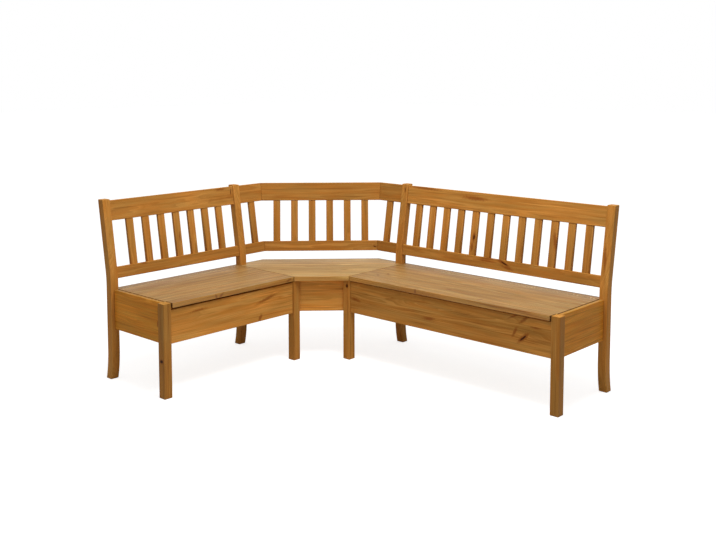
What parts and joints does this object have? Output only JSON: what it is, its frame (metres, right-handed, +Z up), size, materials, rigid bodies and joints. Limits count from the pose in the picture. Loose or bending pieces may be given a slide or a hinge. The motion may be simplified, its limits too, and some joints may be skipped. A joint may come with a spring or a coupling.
{
  "type": "corner storage bench",
  "caption": "L-shaped wooden corner bench with slatted leaning backs, a fixed corner seat and two hinged seat lids over storage chests.",
  "frame": {"origin": "on the floor, under the middle of the bounding box", "axes": "+Z up; +X along the long bench, from the corner to its free end; +Y from the long bench's front to its back, so the short bench runs from the corner towards -Y with its back on the -X side"},
  "size_m": [2.0284, 1.5884, 0.9107],
  "materials": {
    "pine_frame": "oiled and waxed orange-brown pine, satin",
    "pine_seat": "oiled and waxed honey pine, satin, lighter than the frame",
    "pine_panel": "oiled pine, satin, darker than the frame",
    "plywood": "bare birch plywood",
    "hinge_brass": "brass-plated steel, satin"
  },
  "bodies": {
    "frame": {"short_bench_inner_leg": "pine_frame", "short_bench_outer_leg": "pine_frame", "short_bench_inner_post": "pine_frame", "short_bench_outer_post": "pine_frame", "short_bench_apron": "pine_frame", "short_bench_rear_rail": "pine_seat", "short_bench_inner_end_panel": "pine_panel", "short_bench_outer_end_panel": "pine_panel", "short_bench_bottom_panel": "plywood", "short_bench_hinge_fixed_leaf": "hinge_brass", "short_bench_lower_rail": "pine_frame", "short_bench_top_rail": "pine_frame", "short_bench_slat_1": "pine_frame", "short_bench_slat_2": "pine_frame", "short_bench_slat_3": "pine_frame", "short_bench_slat_4": "pine_frame", "short_bench_slat_5": "pine_frame", "short_bench_slat_6": "pine_frame", "short_bench_slat_7": "pine_frame", "long_bench_inner_leg": "pine_frame", "long_bench_outer_leg": "pine_frame", "long_bench_inner_post": "pine_frame", "long_bench_outer_post": "pine_frame", "long_bench_apron": "pine_frame", "long_bench_rear_rail": "pine_seat", "long_bench_inner_end_panel": "pine_panel", "long_bench_outer_end_panel": "pine_panel", "long_bench_bottom_panel": "plywood", "long_bench_hinge_fixed_leaf": "hinge_brass", "long_bench_lower_rail": "pine_frame", "long_bench_top_rail": "pine_frame", "long_bench_slat_1": "pine_frame", "long_bench_slat_2": "pine_frame", "long_bench_slat_3": "pine_frame", "long_bench_slat_4": "pine_frame", "long_bench_slat_5": "pine_frame", "long_bench_slat_6": "pine_frame", "long_bench_slat_7": "pine_frame", "long_bench_slat_8": "pine_frame", "long_bench_slat_9": "pine_frame", "long_bench_slat_10": "pine_frame", "long_bench_slat_11": "pine_frame", "long_bench_slat_12": "pine_frame", "corner_seat": "pine_seat", "corner_apron": "pine_frame", "corner_lower_rail": "pine_frame", "corner_top_rail": "pine_frame", "corner_slat_1": "pine_frame", "corner_slat_2": "pine_frame", "corner_slat_3": "pine_frame", "corner_slat_4": "pine_frame", "corner_slat_5": "pine_frame", "corner_slat_6": "pine_frame", "corner_left_wing_slat": "pine_frame", "corner_right_wing_slat": "pine_frame"},
    "short_lid": {"short_bench_lid": "pine_seat", "short_bench_hinge_lid_leaf": "hinge_brass"},
    "long_lid": {"long_bench_lid": "pine_seat", "long_bench_hinge_lid_leaf": "hinge_brass"}
  },
  "joints": [
    {"name": "short_lid", "type": "hinge", "parent": "frame", "child": "short_lid", "pos_m": [-0.9058, -0.3492, 0.4585], "axis": [0, -1, 0], "range_deg": [0, 94]},
    {"name": "long_lid", "type": "hinge", "parent": "frame", "child": "long_lid", "pos_m": [0.3492, 0.6858, 0.4585], "axis": [-1, 0, 0], "range_deg": [0, 94]}
  ]
}
